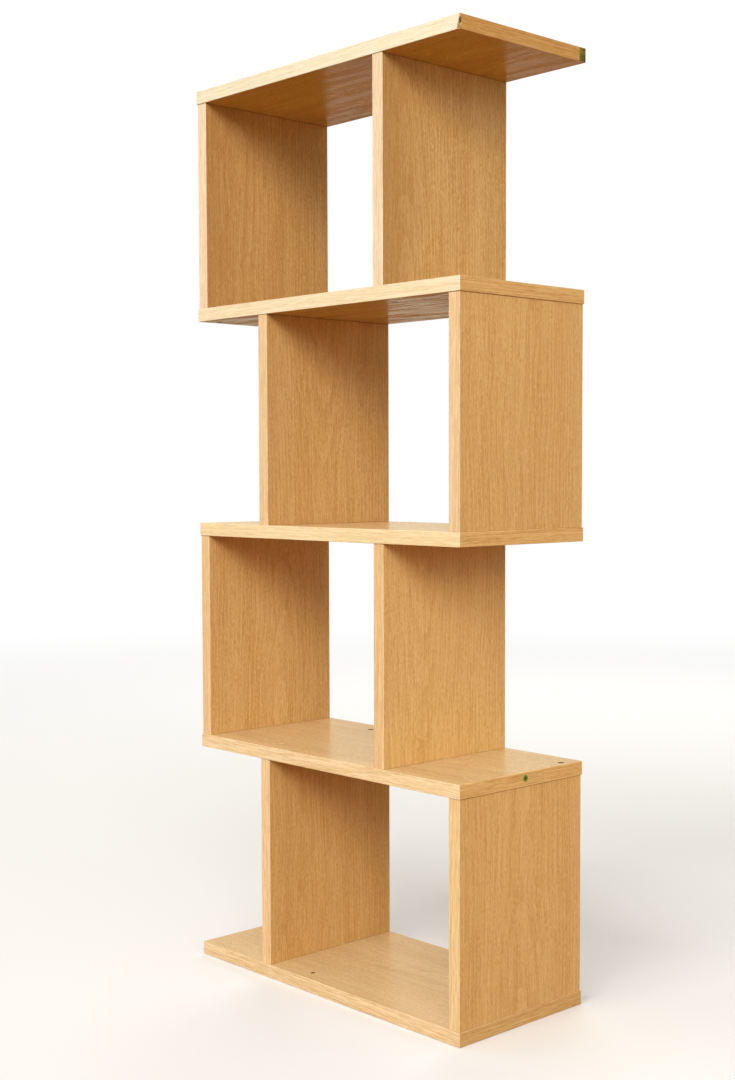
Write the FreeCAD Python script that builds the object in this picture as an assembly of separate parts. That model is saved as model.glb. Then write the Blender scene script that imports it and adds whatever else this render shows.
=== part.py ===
# Open bookcase: five horizontal boards on eight staggered uprights, edged, screwed and dowelled.
# Frame: origin at the centre of the base board's underside, +X along the boards, -Y to the front, +Z up.
# Lengths are millimetres.
import FreeCAD, Part
import math
import os

Vector = FreeCAD.Vector

# Carcass
case_width = 625.0
case_depth = 280.0
board_thickness = 22.0
upright_thickness = 22.0
clear_height = 347.5
ledge_width = 162.5
reveal = 1.5

# Edging strips
edging_thickness = 1.0
edge_radius = 0.8

# Setting out of the fixings at each end of an upright
screw_edge_distance = 37.0
dowel_spacing = 32.0

# Connecting screw
screw_length = 50.0
screw_head_diameter = 10.0
screw_head_rim = 0.6
screw_shank_diameter = 7.0
screw_shank_length = 11.0
screw_core_diameter = 4.8
screw_thread_diameter = 6.8
screw_thread_pitch = 3.0
screw_thread_width = 1.6
screw_point_length = 4.0
socket_across_flats = 4.0
socket_depth = 3.5
screw_clearance = 0.1

# Cap over each screw head: flush with the board's face, with a peg in the screw's socket
cap_lip = 0.5
cap_thickness = 1.6
cap_chamfer = 0.2
cap_peg_length = 3.0
cap_clearance = 0.1

# Fluted dowel
dowel_diameter = 8.0
dowel_length = 30.0
dowel_in_board = 12.0
dowel_chamfer = 1.0
dowel_end_gap = 1.0
dowel_clearance = 0.05
flute_count = 12
flute_depth = 0.35
flute_width = 0.9

# How far every cutting tool runs past the face it cuts
cut_overrun = 1.0

# Derived places
pitch = board_thickness + clear_height
screw_y = case_depth / 2 - screw_edge_distance
cap_radius = screw_head_diameter / 2 + cap_lip
dowel_y = screw_y - dowel_spacing
end_x = case_width / 2 - reveal - upright_thickness / 2
inset_x = case_width / 2 - ledge_width - upright_thickness / 2

# Names from the floor up
board_names = ["base_board", "lower_shelf", "middle_shelf", "upper_shelf", "top_board"]
tier_names = ["bottom_tier", "lower_tier", "upper_tier", "top_tier"]


def board_bottom(level):
    """Height of a board's underside; level 0 is the base board."""
    return level * pitch


def board_top(level):
    return board_bottom(level) + board_thickness


def upright_places(tier):
    """Centre line of the left and the right upright; the end upright changes sides with each tier."""
    if tier % 2 == 0:
        return {"left": -inset_x, "right": end_x}
    return {"left": -end_x, "right": inset_x}


def span_box(low, high):
    """Box between two corners."""
    size = high - low
    return Part.makeBox(size.x, size.y, size.z, low)


def eased_block(low, high):
    """Box with every edge rounded to the edging's radius."""
    block = span_box(low, high)
    return block.makeFillet(edge_radius, block.Edges)


def turned(points):
    """Solid turned about Z from (radius, height) points."""
    corners = [Vector(radius, 0, height) for radius, height in points]
    outline = Part.makePolygon(corners + corners[:1])
    return Part.Face(outline).revolve(Vector(0, 0, 0), Vector(0, 0, 1), 360)


def flipped(shape):
    """Copy turned upside down about X."""
    copy = shape.copy()
    copy.rotate(Vector(0, 0, 0), Vector(1, 0, 0), 180)
    return copy


def placed(shape, x, y, z):
    copy = shape.copy()
    copy.translate(Vector(x, y, z))
    return copy


def cut_all(shape, tools):
    """Shape less every tool, as one solid."""
    return shape.cut(tools).Solids[0]


def hex_prism(across_flats, bottom, top):
    """Six-sided prism about Z between two heights."""
    corner_radius = across_flats / 2 / math.cos(math.pi / 6)
    corners = []
    for corner in range(6):
        angle = corner * math.pi / 3
        corners.append(Vector(corner_radius * math.cos(angle), corner_radius * math.sin(angle), bottom))
    outline = Part.makePolygon(corners + corners[:1])
    return Part.Face(outline).extrude(Vector(0, 0, top - bottom))


# Connecting screw, head up, its head's top face at height 0

def thread_points(start, end):
    """Outline of the ridges between two heights, from the top down."""
    count = int((start - end) / screw_thread_pitch)
    core = screw_core_diameter / 2
    crest = screw_thread_diameter / 2
    points = []
    for ridge in range(count):
        middle = start - (ridge + 1 / 2) * screw_thread_pitch
        points.append((core, middle + screw_thread_width / 2))
        points.append((crest, middle))
        points.append((core, middle - screw_thread_width / 2))
    return points


def head_cone_height(radius):
    """Height on the countersunk face, at 45 degrees, where it has this radius."""
    return -screw_head_rim - (screw_head_diameter / 2 - radius)


def connecting_screw():
    head_radius = screw_head_diameter / 2
    shank_radius = screw_shank_diameter / 2
    core_radius = screw_core_diameter / 2
    thread_start = core_radius - shank_radius - screw_shank_length
    point_start = screw_point_length - screw_length
    outline = [(0, 0), (head_radius, 0), (head_radius, -screw_head_rim)]
    outline.append((shank_radius, head_cone_height(shank_radius)))
    outline.append((shank_radius, -screw_shank_length))
    outline.append((core_radius, thread_start))
    outline += thread_points(thread_start, point_start)
    outline.append((core_radius, point_start))
    outline.append((0, -screw_length))
    return cut_all(turned(outline), [hex_prism(socket_across_flats, -socket_depth, cut_overrun)])


def screw_cap():
    """Cap with its face at height 0; its disc lies on the screw's head and its peg goes into the socket."""
    outline = [(0, 0), (cap_radius - cap_chamfer, 0), (cap_radius, -cap_chamfer)]
    outline += [(cap_radius, -cap_thickness), (0, -cap_thickness)]
    peg_width = socket_across_flats - 2 * cap_clearance
    peg = hex_prism(peg_width, -cap_thickness - cap_peg_length, -cap_thickness)
    return turned(outline).fuse(peg).removeSplitter().Solids[0]


def screw_seat():
    """Stepped hole through a board, its mouth at height 0, for the cap, the head's cone and the shank."""
    mouth_radius = cap_radius + cap_clearance
    rim_radius = screw_head_diameter / 2 + screw_clearance
    bore_radius = screw_shank_diameter / 2 + screw_clearance
    outline = [(0, cut_overrun), (mouth_radius, cut_overrun), (mouth_radius, -cap_thickness)]
    outline.append((rim_radius, -cap_thickness))
    outline.append((rim_radius, -cap_thickness - screw_head_rim))
    outline.append((screw_head_diameter / 2, -cap_thickness - screw_head_rim))
    outline.append((bore_radius, head_cone_height(bore_radius) - cap_thickness))
    outline.append((bore_radius, -board_thickness - cut_overrun))
    outline.append((0, -board_thickness - cut_overrun))
    return turned(outline)


def screw_pilot():
    """Hole in an upright's end, its mouth at height 0, for what stands out of the board of the screw."""
    radius = screw_thread_diameter / 2 + screw_clearance
    depth = cap_thickness + screw_length - board_thickness + screw_clearance
    outline = [(0, cut_overrun), (radius, cut_overrun), (radius, -depth), (0, -depth)]
    return turned(outline)


# Fluted dowel, its middle at height 0

def fluted_dowel():
    radius = dowel_diameter / 2
    half = dowel_length / 2
    tip = radius - dowel_chamfer
    outline = [(0, half), (tip, half), (radius, half - dowel_chamfer)]
    outline += [(radius, dowel_chamfer - half), (tip, -half), (0, -half)]
    flutes = []
    for flute in range(flute_count):
        groove = Part.makeBox(
            2 * flute_depth, flute_width, dowel_length,
            Vector(radius - flute_depth, -flute_width / 2, -half),
        )
        groove.rotate(Vector(0, 0, 0), Vector(0, 0, 1), 360 * flute / flute_count)
        flutes.append(groove)
    return cut_all(turned(outline), flutes)


def dowel_hole(depth):
    """Blind hole with its mouth at height 0."""
    radius = dowel_diameter / 2 + dowel_clearance
    bottom = -depth - dowel_end_gap
    return turned([(0, cut_overrun), (radius, cut_overrun), (radius, bottom), (0, bottom)])


# Boards and uprights

def fixing_tools(x, z, screw_tool, dowel_tool):
    """The screw and dowel tools of one upright's end, at its centre line and at height z."""
    tools = []
    for side in (-1, 1):
        tools.append(placed(screw_tool, x, side * screw_y, z))
        tools.append(placed(dowel_tool, x, side * dowel_y, z))
    return tools


def board_cuts(level):
    """Holes of a board: for the uprights that stand under it and for those that stand on it."""
    seat = screw_seat()
    dowel = dowel_hole(dowel_in_board)
    tools = []
    if level > 0:
        for x in upright_places(level - 1).values():
            for side in (-1, 1):
                tools.append(placed(seat, x, side * screw_y, board_top(level)))
                tools.append(placed(flipped(dowel), x, side * dowel_y, board_bottom(level)))
    if level < len(tier_names):
        for x in upright_places(level).values():
            for side in (-1, 1):
                tools.append(placed(flipped(seat), x, side * screw_y, board_bottom(level)))
                tools.append(placed(dowel, x, side * dowel_y, board_top(level)))
    return tools


def make_board(level):
    """Board core and its four edging strips: the long strips run through, the end strips butt between."""
    half_width = case_width / 2
    half_depth = case_depth / 2
    low = Vector(-half_width, -half_depth, board_bottom(level))
    high = Vector(half_width, half_depth, board_top(level))
    block = eased_block(low, high)
    core_x = half_width - edging_thickness
    core_y = half_depth - edging_thickness
    core = block.common(span_box(Vector(-core_x, -core_y, low.z), Vector(core_x, core_y, high.z)))
    strips = {
        "front": (Vector(low.x, low.y, low.z), Vector(high.x, -core_y, high.z)),
        "back": (Vector(low.x, core_y, low.z), Vector(high.x, high.y, high.z)),
        "left": (Vector(low.x, -core_y, low.z), Vector(-core_x, core_y, high.z)),
        "right": (Vector(core_x, -core_y, low.z), Vector(high.x, core_y, high.z)),
    }
    name = board_names[level]
    nodes = {name: cut_all(core.Solids[0], board_cuts(level))}
    for side, (strip_low, strip_high) in strips.items():
        nodes[f"{name}_{side}_edging"] = block.common(span_box(strip_low, strip_high)).Solids[0]
    return nodes


def make_upright(tier, side, x):
    """Upright core and its front and back edging strips."""
    half_thickness = upright_thickness / 2
    half_depth = case_depth / 2 - reveal
    core_y = half_depth - edging_thickness
    low = Vector(x - half_thickness, -half_depth, board_top(tier))
    high = Vector(x + half_thickness, half_depth, board_bottom(tier + 1))
    block = eased_block(low, high)
    core = block.common(span_box(Vector(low.x, -core_y, low.z), Vector(high.x, core_y, high.z)))
    front = span_box(low, Vector(high.x, -core_y, high.z))
    back = span_box(Vector(low.x, core_y, low.z), high)
    pilot = screw_pilot()
    dowel = dowel_hole(dowel_length - dowel_in_board)
    tools = fixing_tools(x, high.z, pilot, dowel)
    tools += fixing_tools(x, low.z, flipped(pilot), flipped(dowel))
    name = f"{tier_names[tier]}_{side}_upright"
    return {
        name: cut_all(core.Solids[0], tools),
        f"{name}_front_edging": block.common(front).Solids[0],
        f"{name}_back_edging": block.common(back).Solids[0],
    }


# Fixings of a tier

def make_screws(tier):
    """Screws down through the board above and up through the board below."""
    screw = connecting_screw()
    solids = []
    for x in upright_places(tier).values():
        for side in (-1, 1):
            solids.append(placed(screw, x, side * screw_y, board_top(tier + 1) - cap_thickness))
            solids.append(placed(flipped(screw), x, side * screw_y, board_bottom(tier) + cap_thickness))
    return {f"{tier_names[tier]}_screws": Part.makeCompound(solids)}


def make_dowels(tier):
    """Dowels across both ends of the tier's uprights."""
    dowel = fluted_dowel()
    reach = dowel_length / 2 - dowel_in_board
    solids = []
    for x in upright_places(tier).values():
        for side in (-1, 1):
            solids.append(placed(dowel, x, side * dowel_y, board_bottom(tier + 1) - reach))
            solids.append(placed(dowel, x, side * dowel_y, board_top(tier) + reach))
    return {f"{tier_names[tier]}_dowels": Part.makeCompound(solids)}


def make_caps():
    """Caps over the screw heads, in the boards' tops and in their undersides."""
    cap = screw_cap()
    tops = []
    undersides = []
    for tier in range(len(tier_names)):
        for x in upright_places(tier).values():
            for side in (-1, 1):
                tops.append(placed(cap, x, side * screw_y, board_top(tier + 1)))
                undersides.append(placed(flipped(cap), x, side * screw_y, board_bottom(tier)))
    return {"upper_face_caps": Part.makeCompound(tops), "under_face_caps": Part.makeCompound(undersides)}


def make_bookcase():
    nodes = {}
    for level in range(len(board_names)):
        nodes.update(make_board(level))
    for tier in range(len(tier_names)):
        for side, x in upright_places(tier).items():
            nodes.update(make_upright(tier, side, x))
        nodes.update(make_screws(tier))
        nodes.update(make_dowels(tier))
    nodes.update(make_caps())
    return nodes


os.makedirs("parts", exist_ok=True)
for node_name, shape in make_bookcase().items():
    shape.exportStep(f"parts/{node_name}.step")
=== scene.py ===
import math
import random

import bmesh
import bpy
from mathutils import Matrix, Vector, noise


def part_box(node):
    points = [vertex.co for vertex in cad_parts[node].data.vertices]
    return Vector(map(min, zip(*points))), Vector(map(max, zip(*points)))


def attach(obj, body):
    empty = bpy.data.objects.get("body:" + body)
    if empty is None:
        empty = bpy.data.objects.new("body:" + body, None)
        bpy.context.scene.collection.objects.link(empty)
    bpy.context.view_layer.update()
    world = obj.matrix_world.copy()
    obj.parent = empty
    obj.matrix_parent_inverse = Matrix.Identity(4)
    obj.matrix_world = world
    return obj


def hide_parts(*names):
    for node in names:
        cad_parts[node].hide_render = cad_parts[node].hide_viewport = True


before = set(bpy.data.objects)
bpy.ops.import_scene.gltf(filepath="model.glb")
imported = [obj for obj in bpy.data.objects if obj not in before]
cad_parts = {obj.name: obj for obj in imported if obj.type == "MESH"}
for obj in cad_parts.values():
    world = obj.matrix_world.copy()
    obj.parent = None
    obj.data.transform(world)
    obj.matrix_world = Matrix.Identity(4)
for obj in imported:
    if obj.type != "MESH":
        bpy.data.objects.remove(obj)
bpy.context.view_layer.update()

# Open bookcase: oak-effect boards on stepped uprights, edged with strips.
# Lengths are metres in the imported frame, rates are changes to the metre, and colours are linear.

# Camera, its lens in millimetres
camera_eye = Vector((1.87267, -1.76561, 0.84884))
camera_azimuth = math.radians(47.214)
camera_pitch = math.radians(-3.176)
camera_roll = math.radians(-0.165)
camera_lens = 51.86
camera_rise_share = 0.01684

# Stage
white = (1.0, 1.0, 1.0, 1.0)
mirror_color = (1.0, 0.96, 0.74, 1.0)
floor_radius = 9.0
floor_drop = 0.0003
floor_sides = 128
floor_fade = (0.9, 6.0)
floor_color = (0.86, 0.85, 0.83, 1.0)
floor_bounce_color = (0.28, 0.135, 0.045, 1.0)
floor_roughness = 0.8

# Light: an even sky, and soft panel lamps round the bookcase
sky_level = 0.26
sky_color = (1.0, 0.93, 0.83, 1.0)
lamp_aim = Vector((0.0, 0.0, 0.75))
# Each lamp's name, azimuth, elevation, distance, width, height and watts
lamps = [
    ("front", 10.0, 36.0, 12.0, 6.8, 4.8, 965.0),
    ("right", 48.0, 24.0, 12.0, 6.8, 4.8, 745.0),
    ("side", 82.0, 15.0, 4.5, 2.6, 1.8, 33.0),
    ("back_right", 128.0, 8.0, 4.5, 2.6, 2.0, 11.0),
    ("left", -50.0, 60.0, 12.0, 6.8, 4.8, 205.0),
    ("fill", 215.0, 25.0, 4.5, 3.0, 2.5, 70.0),
]

# Oak colours, and the share of each colour's parts that darker and lighter grain keeps
face_color = (0.65, 0.382, 0.131, 1.0)
# Front strips: paler and less saturated than the faces, partly their own tone and partly a painted
# highlight from the light on the fronts
board_front_color_with_highlight = (0.80, 0.587, 0.315, 1.0)
upright_front_color_with_highlight = (0.74, 0.495, 0.238, 1.0)
pore_color = (0.25, 0.105, 0.028, 1.0)
# Paler, greyer tone on faces that look up: partly dust, partly painted sheen and light
dust_and_sheen_color = (0.74, 0.68, 0.58, 1.0)
dark_shares = (0.83, 0.735, 0.59)
light_shares = (1.18, 1.29, 1.52)
wear_share = 0.30
dust_and_sheen_share = 0.15

# Gloss, which lies in streaks on two of the boards
gloss_share = 0.08
smear_gloss_shares = {"top_board": (0.008, 0.034), "upper_shelf": (0.0005, 0.038)}
oak_roughness = (0.28, 0.20)

# Painted shade: a darker margin along the front of some uprights, where less light falls, and how far back
# it reaches
front_shade_color = (0.30, 0.12, 0.03, 1.0)
front_shade_reach = 0.115
front_shade_shares = {
    "top_tier_left_upright": 0.30,
    "top_tier_right_upright": 0.42,
    "upper_tier_left_upright": 0.18,
    "lower_tier_left_upright": 0.10,
}

# Tone of single pieces against the rest: partly their own tone, partly painted light and shade, with the
# front strips paler towards the top, the top tier's uprights darker, and the two upper boards' undersides
# toned against their sheen
tone_and_painted_light_shares = {
    "top_board_front_edging": (0.97, 1.19, 1.55),
    "upper_shelf_front_edging": (1.00, 1.15, 1.37),
    "middle_shelf_front_edging": (1.02, 1.09, 1.13),
    "base_board_front_edging": (0.99, 0.96, 0.92),
    "top_tier_left_upright_front_edging": (1.07, 1.22, 1.62),
    "top_tier_right_upright_front_edging": (1.04, 1.20, 1.60),
    "upper_tier_left_upright_front_edging": (1.00, 1.05, 1.16),
    "upper_tier_right_upright_front_edging": (1.00, 1.05, 1.16),
    "bottom_tier_left_upright_front_edging": (1.11, 1.11, 1.17),
    "bottom_tier_right_upright_front_edging": (1.05, 1.07, 1.07),
    "top_board": (0.91, 0.89, 0.68),
    "upper_shelf": (0.88, 0.93, 0.88),
    "lower_shelf": (0.98, 1.00, 0.98),
    "base_board": (0.98, 1.03, 1.07),
    "top_board_right_edging": (0.84, 0.76, 0.64),
    "top_tier_left_upright": (0.90, 0.87, 0.83),
    "top_tier_right_upright": (0.885, 0.875, 0.85),
    "lower_tier_left_upright": (1.05, 1.06, 1.08),
    "lower_tier_right_upright": (1.05, 1.06, 1.08),
    "bottom_tier_left_upright": (0.99, 0.97, 0.95),
    "bottom_tier_right_upright": (1.05, 1.05, 1.05),
    "lower_shelf_right_edging": (1.08, 1.08, 1.08),
    "middle_shelf_right_edging": (1.05, 1.06, 1.08),
}
even_tone_shares = (1.0, 1.0, 1.0)

# How strongly the grain shows, on each kind of piece and on single ones
face_contrast_share = 0.78
end_contrast_share = 0.92
board_front_contrast_share = 0.45
upright_front_contrast_share = 0.70
contrast_shares = {
    "top_board": 1.05,
    "upper_shelf": 1.00,
    "lower_shelf": 1.30,
    "base_board": 0.95,
    "top_tier_left_upright": 1.00,
    "top_tier_right_upright": 1.05,
    "upper_tier_left_upright": 0.90,
    "lower_tier_left_upright": 0.92,
    "lower_shelf_front_edging": 0.75,
    "base_board_front_edging": 0.95,
}

# Oak figure: rates along the grain and across it, and how far its lines wander
drift_rates = (2.4, 5.0)
band_rates = (1.2, 30.0)
line_rates = (5.0, 760.0)
dash_rates = (140.0, 1250.0)
strip_dash_rates = (40.0, 1250.0)
pore_rates = (110.0, 2400.0)
smear_rates = (9.0, 85.0)
face_drift = 0.03
strip_drift = 0.006

# What each figure adds to the tone and to the surface's height, and how strong the pores are
figure_shares = {"rings": 0.06, "bands": 0.15, "lines": 0.42, "dashes": 0.50}
height_shares = {"dashes": 0.5, "lines": 0.3, "pores": -0.8}
pore_depth_shares = (0.1, 0.5)
grain_bump = 0.0001

# Painted shade under a board, where it overhangs the top of an upright: its reach down the upright, and
# its weakest and strongest share
under_board_shade_reach = (0.0004, 0.0014)
under_board_shade_shares = (0.375, 0.75)

# Noises, as octaves and how rough they are
soft_noise = (2.0, 0.5)
line_noise = (3.0, 0.65)
dash_noise = (2.0, 0.6)
pore_noise = (1.0, 0.5)
smear_noise = (3.0, 0.6)
chip_noise = (3.0, 0.7)
speck_noise = (4.0, 0.65)
paper_noise = (3.0, 0.6)
noise_middle = (0.5, 0.5, 0.5)

# Values between which a noise or a slope takes effect
rough_span = (0.3, 0.7)
tone_span = (0.465, 0.645)
pore_span = (0.56, 0.72)
pore_line_span = (0.58, 0.40)
wear_span = (0.4, 0.6)
under_board_shade_span = (0.35, 0.55)
smear_span = (0.42, 0.62)
chip_span = (0.40, 0.66)
speck_span = (0.38, 0.62)
cap_span = (0.35, 0.65)
sticker_span = (0.25, 0.75)
arris_span = (0.995, 0.90)
upward_span = (0.7, 1.0)

# Growth rings: their spacing, how uneven they are, and a ring's width where the pattern has a scale of one
ring_spacing = 0.0065
ring_distortion = 1.5
ring_detail = 1.0
ring_pattern_width = math.tau / 20

# Pith of the tree: how far it lies from a panel's middle, across it and behind it, and how it leans
pith_across = 0.11
pith_depths = (0.035, 0.09)
pith_lean = math.radians(5.0)

# How far apart in the noise the pieces take their figure, and the seed of what is drawn by lot
figure_step = Vector((7.3, 3.9, 5.7))
figure_seed = 11

# Core of the boards and uprights, which shows where the face is broken
laminate_thickness = 0.0009
chip_rate = 420.0
# Painted shade in a break: between these depths the chips turn from their own colours to the shaded ones
chip_shade_depths = (0.0001, 0.0009)
chip_colors = ((0.24, 0.13, 0.065, 1.0), (0.56, 0.37, 0.22, 1.0), (0.80, 0.60, 0.42, 1.0))
shaded_chip_colors = ((0.012, 0.006, 0.002, 1.0), (0.095, 0.045, 0.016, 1.0), (0.30, 0.18, 0.08, 1.0))

# Torn front corner of the top board
torn_widths = (0.0010, 0.0080)
torn_curve = 1.4
torn_jag = 0.0008
torn_steps = 17
hollow_size = Vector((0.0034, 0.0046, 0.0062))
hollow_share = 0.46

# Nicks in the lower arris of right-hand strips, as distances from their front ends
nick_places = {
    "upper_shelf_right_edging": (0.054, 0.066, 0.083, 0.141),
    "middle_shelf_right_edging": (0.063, 0.171),
}
nick_size = Vector((0.0007, 0.0021, 0.0007))

# Dents in the base board's top and the upper shelf's underside, as distances from the left end,
# the front and the foot
dent_places = {
    "base_board": (0.2645, 0.0268, 0.022),
    "upper_shelf": (0.3215, 0.2392, 0.0),
}
dent_size = Vector((0.0034, 0.0048, 0.0032))

# Bites that are cut away: lumps to a radius on their uneven surface, and their fall, growth and octaves
bite_levels = 4
bite_jag_share = 0.30
bite_lumps = 1.6
bite_fractal = (1.0, 2.0, 4)
overrun = 0.001
weld_reach = 0.000001
sharp_angle = math.radians(30.0)

# Round green sticker on the lower shelf's right end
sticker_radius = 0.0054
sticker_thickness = 0.00025
sticker_from_front = 0.1440
sticker_from_top = 0.0094
sticker_sides = 64
sticker_jag_share = 0.06
sticker_lumps = 2.0
sticker_rate = 500.0
sticker_spot_share = 0.5
sticker_roughness = (0.45, 0.65)
sticker_colors = ((0.030, 0.050, 0.003, 1.0), (0.085, 0.155, 0.012, 1.0), (0.19, 0.33, 0.05, 1.0))

# Scrap of green tape round the top board's back corner
tape_reach = 0.0145
tape_wrap = 0.024
tape_thickness = 0.0003
tape_margin = 0.0007
tape_jag = 0.0035
tape_rows = 48
tape_tears = 3.0
tape_fractal = (0.5, 2.0, 4)
tape_corner_steps = 6
strip_radius = 0.0008
tape_rate = 260.0
tape_bump = 0.00008
tape_roughness = 0.5
tape_gloss_share = 0.1
tape_colors = ((0.045, 0.055, 0.010, 1.0), (0.115, 0.108, 0.018, 1.0), (0.26, 0.19, 0.040, 1.0))

# Caps, which have faded on the upper faces near the front
cap_rate = 900.0
cap_bump = 0.00005
cap_roughness = (0.6, 0.75)
cap_gloss_share = 0.03
cap_fade = (0.03, -0.03)
cap_colors = ((0.055, 0.028, 0.013, 1.0), (0.10, 0.052, 0.024, 1.0), (0.16, 0.085, 0.040, 1.0))
faded_cap_colors = ((0.58, 0.36, 0.15, 1.0), (0.65, 0.42, 0.19, 1.0), (0.71, 0.47, 0.23, 1.0))

# Screws and dowels
screw_rate = 700.0
screw_bump = 0.00002
screw_roughness = 0.35
steel_colors = ((0.42, 0.40, 0.34, 1.0), (0.60, 0.57, 0.48, 1.0), (0.74, 0.71, 0.62, 1.0))
dowel_rate = 500.0
dowel_bump = 0.00004
dowel_roughness = 0.6
beech_colors = ((0.52, 0.31, 0.16, 1.0), (0.66, 0.43, 0.25, 1.0), (0.76, 0.55, 0.36, 1.0))

# Specks of tone, the wider patches among them, and how far the roughness swings with them
speck_share = 0.5
patch_scale = 6.0
roughness_swing = 0.08


class Graph:
    """Builds one node tree; what its methods return feeds later nodes."""

    def __init__(self, tree):
        self.tree = tree

    def feed(self, socket, value):
        """Links a socket to another node, or sets it to a plain value."""
        if isinstance(value, bpy.types.NodeSocket):
            self.tree.links.new(value, socket)
        else:
            socket.default_value = value

    def shade(self, **inputs):
        """Feeds the surface shader's own sockets, named with underscores."""
        for key, value in inputs.items():
            self.feed(self.tree.nodes["Principled BSDF"].inputs[key.replace("_", " ")], value)

    def add(self, kind, inputs=(), **settings):
        """New node with its settings made and its sockets fed."""
        node = self.tree.nodes.new("ShaderNode" + kind)
        for name, value in settings.items():
            setattr(node, name, value)
        for key, value in dict(inputs).items():
            self.feed(node.inputs[key], value)
        return node

    def math(self, operation, first, second=0.0, third=0.0):
        return self.add("Math", {0: first, 1: second, 2: third}, operation=operation).outputs[0]

    def vector(self, operation, first, second=(0.0, 0.0, 0.0)):
        return self.add("VectorMath", {0: first, 1: second}, operation=operation).outputs[0]

    def parts(self, vector):
        """The three parts of a vector."""
        return self.add("SeparateXYZ", {0: vector}).outputs

    def spread(self, value, low, high, to_low=0.0, to_high=1.0):
        """Value moved smoothly from one range to another, held at its ends."""
        names = {"Value": value, "From Min": low, "From Max": high, "To Min": to_low, "To Max": to_high}
        return self.add("MapRange", names, interpolation_type="SMOOTHSTEP").outputs["Result"]

    def mix(self, share, first, second):
        """First colour turned into the second by a share, on the node's colour sockets."""
        node = self.add("Mix", {0: share}, data_type="RGBA")
        self.feed(node.inputs[6], first)
        self.feed(node.inputs[7], second)
        return node.outputs[2]

    def ramp(self, value, low, high, colors):
        """Colour picked by a value from three colours between two ends."""
        node = self.add("ValToRGB", {"Fac": value})
        elements = node.color_ramp.elements
        for element, place, color in zip(elements, (low, high), (colors[0], colors[2])):
            element.position = place
            element.color = color
        elements.new((low + high) / 2).color = colors[1]
        return node.outputs["Color"]

    def place(self):
        """Place in the frame."""
        return self.add("TexCoord").outputs["Object"]

    def noise(self, place, grade=soft_noise, rate=1.0, output="Fac"):
        """Noise of a grade, which is its octaves and how rough they are."""
        detail, roughness = grade
        inputs = {"Vector": place, "Scale": rate, "Detail": detail, "Roughness": roughness}
        return self.add("TexNoise", inputs).outputs[output]

    def stretched(self, place, panel, rates):
        """Place scaled by one rate along a panel's grain and by another across it."""
        along, across = rates
        scale = [across] * 3
        scale[panel["grain"]] = along
        inputs = {"Vector": place, "Scale": scale, "Location": panel["shift"]}
        return self.add("Mapping", inputs).outputs[0]

    def weighed(self, terms):
        """Sum of values, each times its share."""
        total = 0.0
        for value, share in terms:
            total = self.math("MULTIPLY_ADD", value, share, total)
        return total

    def extreme(self, operation, vector):
        """The largest or the smallest of a vector's three parts."""
        x, y, z = self.parts(vector)
        return self.math(operation, x, self.math(operation, y, z))

    def normal(self):
        """Way that the surface faces in the frame."""
        return self.add("NewGeometry").outputs["Normal"]

    def arris(self):
        """One on rounded edges and zero on flat faces square to the axes."""
        square = self.extreme("MAXIMUM", self.vector("ABSOLUTE", self.normal()))
        return self.spread(square, *arris_span)

    def upward(self):
        """One on faces that look straight up and zero on the rest."""
        return self.spread(self.parts(self.normal())["Z"], *upward_span)

    def shown(self):
        """One for rays that show the surroundings: straight, mirrored or through glass."""
        rays = self.add("LightPath").outputs
        bent = self.math("MAXIMUM", rays["Is Glossy Ray"], rays["Is Transmission Ray"])
        return self.math("MAXIMUM", rays["Is Camera Ray"], bent)

    def backdrop(self):
        """White to the camera, and cream where it is mirrored."""
        return self.mix(self.add("LightPath").outputs["Is Camera Ray"], mirror_color, white)

    def bump(self, height, distance):
        return self.add("Bump", {"Height": height, "Distance": distance}).outputs[0]


def new_material(name):
    material = bpy.data.materials.new(name)
    material.use_nodes = True
    return material, Graph(material.node_tree)


def new_mesh(name, shape):
    """Mesh from a shape in the making, which is then done with."""
    mesh = bpy.data.meshes.new(name)
    shape.to_mesh(mesh)
    shape.free()
    return mesh


def new_object(name, data):
    """Object that brings a mesh, lamp or camera into the scene."""
    item = bpy.data.objects.new(name, data)
    bpy.context.scene.collection.objects.link(item)
    return item


# Oak

def toned(color, shares, reach=1.0):
    """Colour with each of its parts moved towards its share by a reach."""
    return tuple(part * (1.0 + (share - 1.0) * reach) for part, share in zip(color, shares)) + (1.0,)


def drifting_place(graph, panel):
    """Place on the panel, pushed slowly sideways along the grain so that its lines wander."""
    place = graph.place()
    drift = graph.noise(graph.stretched(place, panel, drift_rates), output="Color")
    reach = [panel["drift"]] * 3
    reach[panel["grain"]] = 0.0
    middle = graph.vector("SUBTRACT", drift, noise_middle)
    return graph.vector("ADD", place, graph.vector("MULTIPLY", middle, reach))


def ring_tone(graph, place, panel):
    """Growth rings round a pith that leans a little from the grain, so that they run out in arches."""
    inside = graph.vector("SUBTRACT", place, panel["middle"])
    inputs = {"Vector": inside, "Location": panel["pith"], "Rotation": (0.0, panel["lean"], 0.0)}
    rings = {
        "Vector": graph.add("Mapping", inputs).outputs[0],
        "Scale": ring_pattern_width / ring_spacing,
        "Distortion": ring_distortion,
        "Detail": ring_detail,
    }
    axis = "XYZ"[panel["grain"]]
    wave = graph.add("TexWave", rings, wave_type="RINGS", rings_direction=axis, wave_profile="SAW")
    return wave.outputs["Fac"]


def figure_values(graph, place, panel):
    """The rings, bands, lines and dashes of the grain, each from zero to one."""
    return {
        "rings": ring_tone(graph, place, panel),
        "bands": graph.noise(graph.stretched(place, panel, band_rates)),
        "lines": graph.noise(graph.stretched(place, panel, line_rates), line_noise),
        "dashes": graph.noise(graph.stretched(place, panel, panel["dashes"]), dash_noise),
    }


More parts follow.
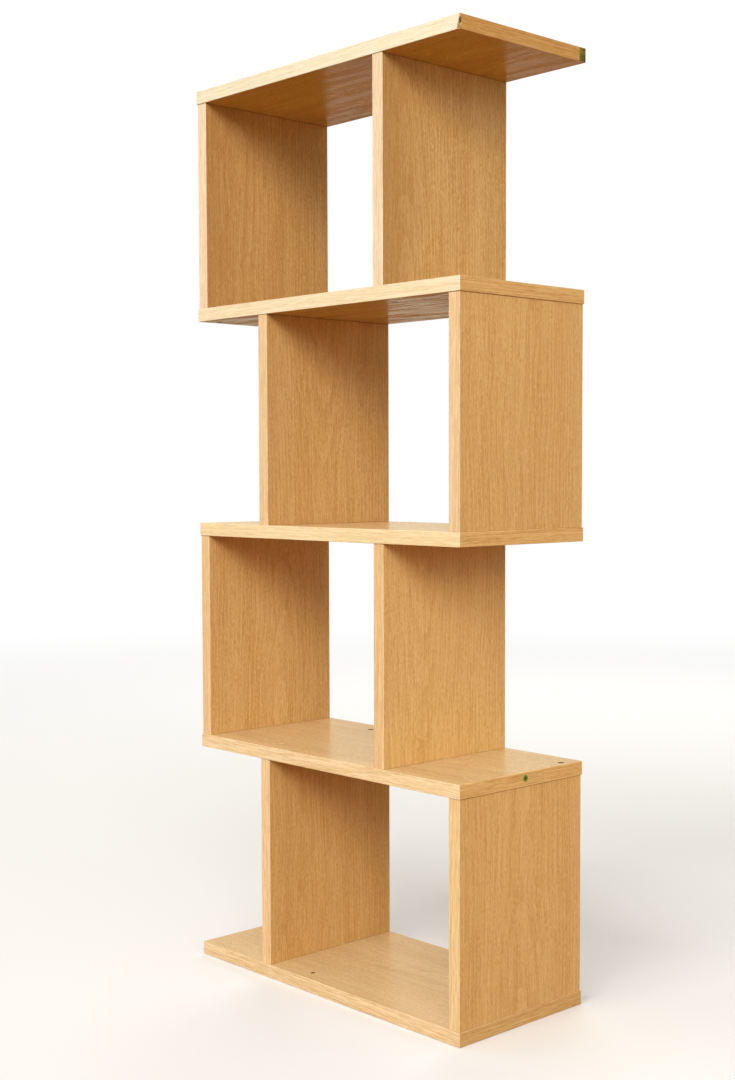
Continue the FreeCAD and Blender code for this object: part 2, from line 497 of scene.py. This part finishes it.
def pore_tone(graph, place, panel, lines):
    """Fine pores, deeper where the lines are dark."""
    pores = graph.noise(graph.stretched(place, panel, pore_rates), pore_noise)
    shallow, deep = [share * panel["contrast"] for share in pore_depth_shares]
    depth = graph.spread(lines, *pore_line_span, shallow, deep)
    return graph.math("MULTIPLY", graph.spread(pores, *pore_span), depth)


def face_tone(graph, panel, values):
    """Figured and porous face, paler along worn edges, and paler where it looks up: partly dust, partly
    painted sheen.
    """
    even, reach = panel["color"], panel["contrast"]
    dark, light = [toned(even, shares, reach) for shares in (dark_shares, light_shares)]
    tone = graph.weighed([(values[key], share) for key, share in figure_shares.items()])
    figure = graph.ramp(tone, *tone_span, (dark, even, light))
    porous = graph.mix(values["pores"], figure, pore_color)
    scuffs = graph.spread(values["dashes"], *wear_span, 0.0, wear_share)
    worn = graph.mix(graph.math("MULTIPLY", graph.arris(), scuffs), porous, light)
    return graph.mix(graph.math("MULTIPLY", graph.upward(), dust_and_sheen_share), worn, dust_and_sheen_color)


def under_board_shade_tone(graph, panel, uneven):
    """Share of the painted shade where an upright meets the board above it."""
    below = graph.math("SUBTRACT", panel["top"], graph.parts(graph.place())["Z"])
    near = graph.spread(below, *reversed(under_board_shade_reach))
    return graph.math("MULTIPLY", near, graph.spread(uneven, *under_board_shade_span, *under_board_shade_shares))


def front_shade_tone(graph, name, panel):
    """Share of the painted shade along the front margin, which fades from the front to its reach."""
    front = panel["box"][0].y
    depth = graph.parts(graph.place())["Y"]
    return graph.spread(depth, front, front + front_shade_reach, front_shade_shares[name], 0.0)


def core_color(graph, panel):
    """Pressed chips of wood, with painted shade deep inside a break."""
    place = graph.place()
    chips = graph.noise(place, chip_noise, chip_rate)
    low, high = panel["box"]
    from_low = graph.vector("SUBTRACT", place, low)
    from_high = graph.vector("SUBTRACT", high, place)
    depth = graph.extreme("MINIMUM", graph.vector("MINIMUM", from_low, from_high))
    pale, dark = [graph.ramp(chips, *chip_span, colors) for colors in (chip_colors, shaded_chip_colors)]
    return graph.mix(graph.spread(depth, *chip_shade_depths), pale, dark)


def core_share(graph, panel):
    """One where the panel is broken or cut deeper than its laminate."""
    place = graph.parts(graph.place())[panel["face"]]
    low, high = panel["faces"]
    depth = graph.math("MINIMUM", graph.math("SUBTRACT", place, low), graph.math("SUBTRACT", high, place))
    return graph.math("GREATER_THAN", depth, laminate_thickness)


def oak_gloss(graph, name, place, panel):
    """Even gloss, or streaks of it along the grain."""
    if name not in smear_gloss_shares:
        return gloss_share
    smears = graph.noise(graph.stretched(place, panel, smear_rates), smear_noise)
    return graph.spread(smears, *smear_span, *smear_gloss_shares[name])


def oak(name, panel):
    """Oak-effect foil: arched rings, wandering lines, short dashes and fine pores along the grain."""
    material, graph = new_material(name)
    place = drifting_place(graph, panel)
    values = figure_values(graph, place, panel)
    values["pores"] = pore_tone(graph, place, panel, values["lines"])
    color = face_tone(graph, panel, values)
    # Painted shade at the top of an upright, under the board above it
    if panel["top"]:
        color = graph.mix(under_board_shade_tone(graph, panel, values["dashes"]), color, pore_color)
    # Painted shade along the front margin of some uprights
    if name in front_shade_shares:
        color = graph.mix(front_shade_tone(graph, name, panel), color, front_shade_color)
    roughness = graph.spread(values["lines"], *rough_span, *oak_roughness)
    if panel["faces"]:
        core = core_share(graph, panel)
        color = graph.mix(core, color, core_color(graph, panel))
        roughness = graph.math("MAXIMUM", roughness, core)
    height = graph.weighed([(values[key], share) for key, share in height_shares.items()])
    graph.shade(
        Base_Color=color,
        Roughness=roughness,
        Normal=graph.bump(height, grain_bump),
        Specular_IOR_Level=oak_gloss(graph, name, place, panel),
    )
    return material


def oak_color(name):
    """Middle tone of one panel or strip, with its painted light and shade."""
    color = face_color
    if name.endswith(("front_edging", "back_edging")):
        color = upright_front_color_with_highlight if "upright" in name else board_front_color_with_highlight
    return toned(color, tone_and_painted_light_shares.get(name, even_tone_shares))


def oak_contrast(name):
    """How strongly the grain shows on one panel or strip."""
    share = face_contrast_share
    if name.endswith(("left_edging", "right_edging")):
        share = end_contrast_share
    elif name.endswith("edging"):
        share = upright_front_contrast_share if "upright" in name else board_front_contrast_share
    return contrast_shares.get(name, share)


def oak_panel(name, index, draw):
    """How the oak of one panel or strip lies: its grain axis, its faces, and its own stretch of figure."""
    low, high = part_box(name)
    strip = name.endswith("edging")
    grain, face = 0, 2
    if "upright" in name:
        grain, face = 2, 0
    if name.endswith(("left_edging", "right_edging")):
        grain = 1
    pith = Vector((0.0, draw.uniform(-pith_across, pith_across), 0.0))
    pith[face] = draw.uniform(*pith_depths) * draw.choice((-1, 1))
    return {
        "grain": grain,
        "face": face,
        "faces": None if strip else (low[face], high[face]),
        "box": (low, high),
        "top": high.z if face == 0 and not strip else None,
        "middle": (low + high) / 2,
        "pith": pith,
        "lean": draw.uniform(-pith_lean, pith_lean),
        "shift": figure_step * index,
        "drift": strip_drift if strip else face_drift,
        "contrast": oak_contrast(name),
        "dashes": strip_dash_rates if strip else dash_rates,
        "color": oak_color(name),
    }


# Other materials

def speckled(name, colors, rate, bump_height, roughness, **shades):
    """Three colours mixed by a fine noise that also lifts the surface."""
    material, graph = new_material(name)
    spots = graph.noise(graph.place(), speck_noise, rate)
    patches = graph.noise(graph.place(), soft_noise, rate / patch_scale)
    tone = graph.weighed([(spots, speck_share), (patches, 1.0 - speck_share)])
    swing = (roughness - roughness_swing, roughness + roughness_swing)
    graph.shade(
        Base_Color=graph.ramp(tone, *speck_span, colors),
        Roughness=graph.spread(spots, *rough_span, *swing),
        Normal=graph.bump(spots, bump_height),
        **shades,
    )
    return material


def cap_material():
    """Moulded plastic, dark brown, bleached to the oak's tone where it lies in the light."""
    material, graph = new_material("cap_plastic")
    spots = graph.noise(graph.place(), speck_noise, cap_rate)
    front = graph.spread(graph.parts(graph.place())["Y"], *cap_fade)
    dark, faded = [graph.ramp(spots, *cap_span, colors) for colors in (cap_colors, faded_cap_colors)]
    graph.shade(
        Base_Color=graph.mix(graph.math("MULTIPLY", graph.upward(), front), dark, faded),
        Roughness=graph.spread(spots, *rough_span, *cap_roughness),
        Normal=graph.bump(spots, cap_bump),
        Specular_IOR_Level=cap_gloss_share,
    )
    return material


def sticker_material(middle):
    """Green paper, darker in its middle, with scuffed spots."""
    material, graph = new_material("sticker_paper")
    away = graph.add("VectorMath", {0: graph.place(), 1: middle}, operation="DISTANCE").outputs["Value"]
    pale = graph.spread(away, 0.0, sticker_radius, 0.0, 1.0 - sticker_spot_share)
    spots = graph.noise(graph.place(), paper_noise, sticker_rate)
    tone = graph.math("MULTIPLY_ADD", spots, sticker_spot_share, pale)
    graph.shade(
        Base_Color=graph.ramp(tone, *sticker_span, sticker_colors),
        Roughness=graph.spread(spots, *rough_span, *sticker_roughness),
        Normal=graph.bump(spots, grain_bump),
        Specular_IOR_Level=gloss_share,
    )
    return material


def tape_material():
    return speckled(
        "tape_film",
        tape_colors,
        tape_rate,
        tape_bump,
        tape_roughness,
        Specular_IOR_Level=tape_gloss_share,
    )


def dress_nodes():
    """Gives each node of the frame its own oak, or the material of its kind of fixing."""
    draw = random.Random(figure_seed)
    steel = speckled("screw_zinc", steel_colors, screw_rate, screw_bump, screw_roughness, Metallic=1.0)
    beech = speckled("dowel_beech", beech_colors, dowel_rate, dowel_bump, dowel_roughness)
    fixings = {"caps": cap_material(), "screws": steel, "dowels": beech}
    for index, (name, piece) in enumerate(sorted(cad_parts.items())):
        kind = name.split("_")[-1]
        material = fixings[kind] if kind in fixings else oak(name, oak_panel(name, index, draw))
        piece.data.materials.clear()
        piece.data.materials.append(material)


# Broken and marked places

def new_piece(name, shape, material):
    """Piece from a shape in the making, in the frame and on the bookcase's own body."""
    piece = new_object(name, new_mesh(name, shape))
    piece.data.materials.append(material)
    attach(piece, "root")
    return piece


def thicken(shape, face, way):
    """Draws a flat face out into a closed block."""
    drawn = bmesh.ops.extrude_face_region(shape, geom=[face])["geom"]
    moved = [item for item in drawn if isinstance(item, bmesh.types.BMVert)]
    bmesh.ops.translate(shape, verts=moved, vec=way)
    bmesh.ops.recalc_face_normals(shape, faces=shape.faces)


def bite(place, size):
    """Ball of uneven surface to cut away with."""
    shape = bmesh.new()
    bmesh.ops.create_icosphere(shape, subdivisions=bite_levels, radius=1.0)
    for vert in shape.verts:
        rough = noise.fractal(vert.co * bite_lumps + place / size.z, *bite_fractal)
        vert.co = place + vert.co * size * (1.0 + bite_jag_share * rough)
    return shape


def torn_wedge(corner, low_z, high_z, draw):
    """Jagged wedge along a front corner, narrow at its top and wide at its foot."""
    narrow, wide = torn_widths
    edge = []
    for step in range(torn_steps + 1):
        share = step / torn_steps
        width = narrow + (wide - narrow) * (1.0 - share) ** torn_curve
        jag = draw.uniform(-torn_jag, torn_jag)
        edge.append((corner.x - width + jag, low_z - overrun + (high_z - low_z + 2 * overrun) * share))
    outside = [(corner.x + overrun, edge[-1][1]), (corner.x + overrun, edge[0][1])]
    shape = bmesh.new()
    front = [shape.verts.new((x, corner.y - overrun, z)) for x, z in edge + outside]
    thicken(shape, shape.faces.new(front), (0.0, 2 * overrun, 0.0))
    return shape


def cut_away(piece, shape):
    """Takes a shape in the making out of a piece."""
    cutter = new_object("bite", new_mesh("bite", shape))
    cut = piece.modifiers.new("bite", "BOOLEAN")
    cut.object = cutter
    cut.solver = "EXACT"
    settled = piece.evaluated_get(bpy.context.evaluated_depsgraph_get())
    piece.data = bpy.data.meshes.new_from_object(settled)
    piece.modifiers.clear()
    bpy.data.objects.remove(cutter)


def broken(name, bites):
    """Copy of a node with bites taken out of it, standing in for the node."""
    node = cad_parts[name]
    shape = bmesh.new()
    shape.from_mesh(node.data)
    bmesh.ops.remove_doubles(shape, verts=shape.verts, dist=weld_reach)
    piece = new_piece(f"{name}_worn", shape, node.data.materials[0])
    for gap in bites:
        cut_away(piece, gap)
    piece.data.set_sharp_from_angle(angle=sharp_angle)
    piece.modifiers.new("even normals", "WEIGHTED_NORMAL").keep_sharp = True
    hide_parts(name)


def make_torn_corner():
    """The top board's front right corner: front strip torn off, end strip frayed and core hollowed."""
    draw = random.Random(figure_seed)
    low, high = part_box("top_board_front_edging")
    corner = Vector((high.x, low.y, low.z + (high.z - low.z) * hollow_share))
    broken("top_board_front_edging", [torn_wedge(corner, low.z, high.z, draw)])
    broken("top_board_right_edging", [bite(corner, hollow_size)])
    broken("top_board", [bite(corner, hollow_size)])


def make_nicks():
    for name, places in nick_places.items():
        low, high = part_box(name)
        broken(name, [bite(Vector((high.x, low.y + place, low.z)), nick_size) for place in places])


def make_dents():
    for name, place in dent_places.items():
        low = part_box(f"{name}_front_edging")[0]
        broken(name, [bite(low + Vector(place), dent_size)])


def make_sticker():
    """Round sticker on the lower shelf's right end, its rim a little uneven."""
    low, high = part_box("lower_shelf_right_edging")
    middle = Vector((high.x, low.y + sticker_from_front, high.z - sticker_from_top))
    shape = bmesh.new()
    rim = []
    for step in range(sticker_sides):
        angle = math.tau * step / sticker_sides
        way = Vector((0.0, math.cos(angle), math.sin(angle)))
        uneven = 1.0 + sticker_jag_share * noise.noise(way * sticker_lumps)
        rim.append(shape.verts.new(middle + way * sticker_radius * uneven))
    thicken(shape, shape.faces.new(rim), (sticker_thickness, 0.0, 0.0))
    new_piece("green_sticker", shape, sticker_material(middle))


def tape_path(corner):
    """Plan of the tape from its end on the right side, round the corner, to its end on the back."""
    radius = strip_radius + tape_thickness
    center = corner - Vector((strip_radius, strip_radius, 0.0))
    path = [Vector((corner.x + tape_thickness, corner.y - tape_reach, 0.0))]
    for step in range(tape_corner_steps + 1):
        angle = math.pi / 2 * step / tape_corner_steps
        path.append(center + Vector((math.cos(angle), math.sin(angle), 0.0)) * radius)
    path.append(Vector((corner.x - tape_wrap, corner.y + tape_thickness, 0.0)))
    return path


def make_tape():
    """Scrap of tape round the top board's back right corner, torn at both ends."""
    low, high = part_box("top_board_back_edging")
    path = tape_path(Vector((high.x, high.y, 0.0)))
    foot, head = low.z + tape_margin, high.z - tape_margin
    shape = bmesh.new()
    rows = []
    for row in range(tape_rows + 1):
        points = [point.copy() for point in path]
        torn = Vector((0.0, 0.0, tape_tears * row / tape_rows))
        points[0].y += tape_jag * noise.fractal(torn, *tape_fractal)
        points[-1].x += tape_jag * noise.fractal(torn + figure_step, *tape_fractal)
        height = Vector((0.0, 0.0, foot + (head - foot) * row / tape_rows))
        rows.append([shape.verts.new(point + height) for point in points])
    for below, above in zip(rows, rows[1:]):
        for corner in range(len(path) - 1):
            shape.faces.new((below[corner], below[corner + 1], above[corner + 1], above[corner]))
    bmesh.ops.recalc_face_normals(shape, faces=shape.faces)
    piece = new_piece("green_tape", shape, tape_material())
    skin = piece.modifiers.new("thickness", "SOLIDIFY")
    skin.thickness = tape_thickness
    skin.offset = -1.0


# Stage

def make_camera():
    data = bpy.data.cameras.new("camera")
    data.lens = camera_lens
    data.shift_y = camera_rise_share
    camera = new_object("camera", data)
    turn = Matrix.Rotation(camera_azimuth, 4, "Z")
    tilt = Matrix.Rotation(math.pi / 2 + camera_pitch, 4, "X")
    roll = Matrix.Rotation(camera_roll, 4, "Z")
    camera.matrix_world = Matrix.Translation(camera_eye) @ turn @ tilt @ roll
    bpy.context.scene.camera = camera


def floor_material():
    """Pale floor that fades to white far off, with a darker tone for the light it throws back."""
    material, graph = new_material("floor")
    shown = graph.shown()
    away = graph.add("VectorMath", {0: graph.place()}, operation="LENGTH").outputs["Value"]
    far = graph.math("MULTIPLY", graph.spread(away, *floor_fade), shown)
    glow = graph.add("Emission", {"Color": graph.backdrop()})
    surface = graph.tree.nodes["Principled BSDF"].outputs[0]
    both = graph.add("MixShader", {0: far, 1: surface, 2: glow.outputs[0]})
    graph.feed(graph.tree.nodes["Material Output"].inputs["Surface"], both.outputs[0])
    color = graph.mix(shown, floor_bounce_color, floor_color)
    graph.shade(Base_Color=color, Roughness=floor_roughness)
    return material


def make_floor():
    shape = bmesh.new()
    bmesh.ops.create_circle(shape, cap_ends=True, segments=floor_sides, radius=floor_radius)
    floor = new_object("floor", new_mesh("floor", shape))
    floor.data.materials.append(floor_material())
    floor.location.z = -floor_drop


def make_sky():
    """White all round for what is seen, cream where it is mirrored, and a dimmer level for its light."""
    world = bpy.data.worlds.new("sky")
    world.use_nodes = True
    graph = Graph(world.node_tree)
    light = graph.tree.nodes["Background"]
    graph.feed(light.inputs["Color"], sky_color)
    graph.feed(light.inputs["Strength"], sky_level)
    seen = graph.add("Background", {"Color": graph.backdrop()})
    both = graph.add("MixShader", {0: graph.shown(), 1: light.outputs[0], 2: seen.outputs[0]})
    graph.feed(graph.tree.nodes["World Output"].inputs["Surface"], both.outputs[0])
    bpy.context.scene.world = world


def make_lamp(name, azimuth, elevation, distance, width, height, watts):
    """Lamp that looks at the bookcase; azimuth 0 is in front of it and 90 at its right."""
    turn = math.radians(azimuth)
    rise = math.radians(elevation)
    way = Vector((math.sin(turn) * math.cos(rise), -math.cos(turn) * math.cos(rise), math.sin(rise)))
    data = bpy.data.lights.new(name, "AREA")
    data.shape = "RECTANGLE"
    data.size = width
    data.size_y = height
    data.energy = watts
    lamp = new_object(name, data)
    lamp.location = lamp_aim + way * distance
    lamp.rotation_euler = (-way).to_track_quat("-Z", "Y").to_euler()
    lamp.visible_camera = False
    lamp.visible_glossy = False


make_camera()
make_floor()
make_sky()
for lamp in lamps:
    make_lamp(*lamp)
dress_nodes()
make_torn_corner()
make_nicks()
make_dents()
make_sticker()
make_tape()

bpy.context.scene.view_settings.view_transform = "Standard"
